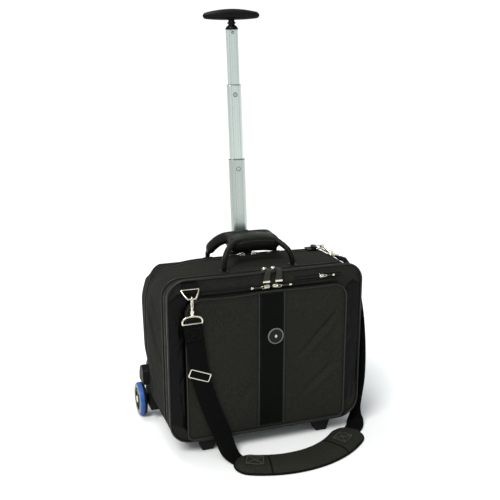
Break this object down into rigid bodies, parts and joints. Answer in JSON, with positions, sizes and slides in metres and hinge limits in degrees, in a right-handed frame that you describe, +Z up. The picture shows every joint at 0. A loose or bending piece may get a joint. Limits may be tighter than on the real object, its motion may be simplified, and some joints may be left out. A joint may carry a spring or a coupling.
{
  "type": "rolling laptop case",
  "caption": "Soft rolling laptop case with telescoping trolley mast, two rear wheels, zipped compartments, padded carry handle and clip-on shoulder strap.",
  "frame": {"origin": "on the floor under the centre of the case, measured without the shoulder strap and what is on it", "axes": "+Z up, -Y towards the front pocket, +X along the axle from left to right as seen from the front"},
  "size_m": [0.474, 0.3964, 0.8953],
  "materials": {
    "nylon": "matte",
    "moulded_black": "matte",
    "lining": "matte",
    "zip_tape": "matte",
    "leatherette": "satin",
    "badge_plastic": "satin",
    "pin_steel": "brushed",
    "tyre_blue": "matte",
    "hub_plastic": "satin",
    "foot_plastic": "matte",
    "mast_aluminium": "satin",
    "guide_plastic": "satin",
    "grip_plastic": "satin",
    "hardware_metal": "polished",
    "pull_leatherette": "satin",
    "webbing": "matte",
    "pad_fabric": "matte"
  },
  "bodies": {
    "root": {"front_shell": "nylon", "main_shell": "nylon", "rear_shell": "nylon", "back_panel": "moulded_black", "base_tray": "moulded_black", "divider_front": "lining", "laptop_sleeve": "lining", "trolley_liner": "lining", "zip_tape_front": "zip_tape", "zip_tape_rear": "zip_tape", "zip_tape_face": "zip_tape", "rim_piping": "leatherette", "front_pocket": "nylon", "centre_strip": "leatherette", "badge": "badge_plastic", "trim_left": "leatherette", "trim_right": "leatherette", "wheel_housing_l": "moulded_black", "wheel_housing_r": "moulded_black", "axle_l": "pin_steel", "axle_r_pin": "pin_steel", "foot_l": "foot_plastic", "foot_r": "foot_plastic", "mast_housing": "mast_aluminium", "mast_collar": "moulded_black", "handle_front": "leatherette", "handle_rear": "leatherette", "handle_wrap": "leatherette", "ring_tab_l": "leatherette", "ring_l": "hardware_metal", "ring_tab_r": "leatherette", "ring_r": "hardware_metal", "hook_l": "hardware_metal", "hook_r": "hardware_metal", "adjuster": "hardware_metal", "strap": "webbing", "shoulder_pad": "pad_fabric"},
    "mast_lower": {"stage_1": "mast_aluminium", "guide_1": "guide_plastic"},
    "mast_middle": {"stage_2": "mast_aluminium", "guide_2": "guide_plastic", "snap_2": "guide_plastic"},
    "mast_upper": {"stage_3": "mast_aluminium", "guide_3": "guide_plastic", "snap_3": "guide_plastic", "neck": "grip_plastic", "grip": "grip_plastic"},
    "wheel_l": {"tyre_l": "tyre_blue", "hub_l": "hub_plastic"},
    "wheel_r": {"tyre_r": "tyre_blue", "hub_r": "hub_plastic"},
    "zip_front_l": {"slider_front_l": "hardware_metal"},
    "zip_front_r": {"slider_front_r": "hardware_metal"},
    "tab_front_l": {"pull_front_l": "pull_leatherette"},
    "tab_front_r": {"pull_front_r": "pull_leatherette"},
    "zip_rear_l": {"slider_rear_l": "hardware_metal"},
    "zip_rear_r": {"slider_rear_r": "hardware_metal"},
    "zip_pocket_l": {"slider_pocket_l": "hardware_metal"},
    "zip_pocket_r": {"slider_pocket_r": "hardware_metal"},
    "zip_corner": {"slider_corner": "hardware_metal"}
  },
  "joints": [
    {"name": "mast_slide_lower", "type": "slide", "parent": "root", "child": "mast_lower", "axis": [0, 0.1083, 0.9941], "range_m": [-0.1995, 0]},
    {"name": "mast_slide_middle", "type": "slide", "parent": "mast_lower", "child": "mast_middle", "axis": [0, 0.1083, 0.9941], "range_m": [-0.1575, 0], "deforming": ["snap_2"]},
    {"name": "mast_slide_upper", "type": "slide", "parent": "mast_middle", "child": "mast_upper", "axis": [0, 0.1083, 0.9941], "range_m": [-0.1145, 0], "deforming": ["snap_3"]},
    {"name": "wheel_spin_l", "type": "hinge", "parent": "root", "child": "wheel_l", "pos_m": [-0.227, 0.099, 0.0378], "axis": [1, 0, 0], "continuous": true},
    {"name": "wheel_spin_r", "type": "hinge", "parent": "root", "child": "wheel_r", "pos_m": [0.227, 0.099, 0.0378], "axis": [1, 0, 0], "continuous": true},
    {"name": "zip_run_front_l", "type": "slide", "parent": "root", "child": "zip_front_l", "axis": [1, 0, 0], "range_m": [-0.11, 0]},
    {"name": "zip_run_front_r", "type": "slide", "parent": "root", "child": "zip_front_r", "axis": [1, 0, 0], "range_m": [0, 0.08]},
    {"name": "tab_lift_front_l", "type": "hinge", "parent": "zip_front_l", "child": "tab_front_l", "pos_m": [0.006, -0.087, 0.3766], "axis": [-1, 0, 0], "range_deg": [0, 100]},
    {"name": "tab_lift_front_r", "type": "hinge", "parent": "zip_front_r", "child": "tab_front_r", "pos_m": [0.025, -0.087, 0.3766], "axis": [-1, 0, 0], "range_deg": [0, 100]},
    {"name": "zip_run_rear_l", "type": "slide", "parent": "root", "child": "zip_rear_l", "axis": [1, 0, 0], "range_m": [-0.1, 0]},
    {"name": "zip_run_rear_r", "type": "slide", "parent": "root", "child": "zip_rear_r", "axis": [1, 0, 0], "range_m": [0, 0.085]},
    {"name": "zip_run_pocket_l", "type": "slide", "parent": "root", "child": "zip_pocket_l", "axis": [1, 0, 0], "range_m": [-0.08, 0]},
    {"name": "zip_run_pocket_r", "type": "slide", "parent": "root", "child": "zip_pocket_r", "axis": [1, 0, 0], "range_m": [0, 0.08]},
    {"name": "zip_run_corner", "type": "slide", "parent": "root", "child": "zip_corner", "axis": [1, 0, 0], "range_m": [-0.05, 0]}
  ]
}
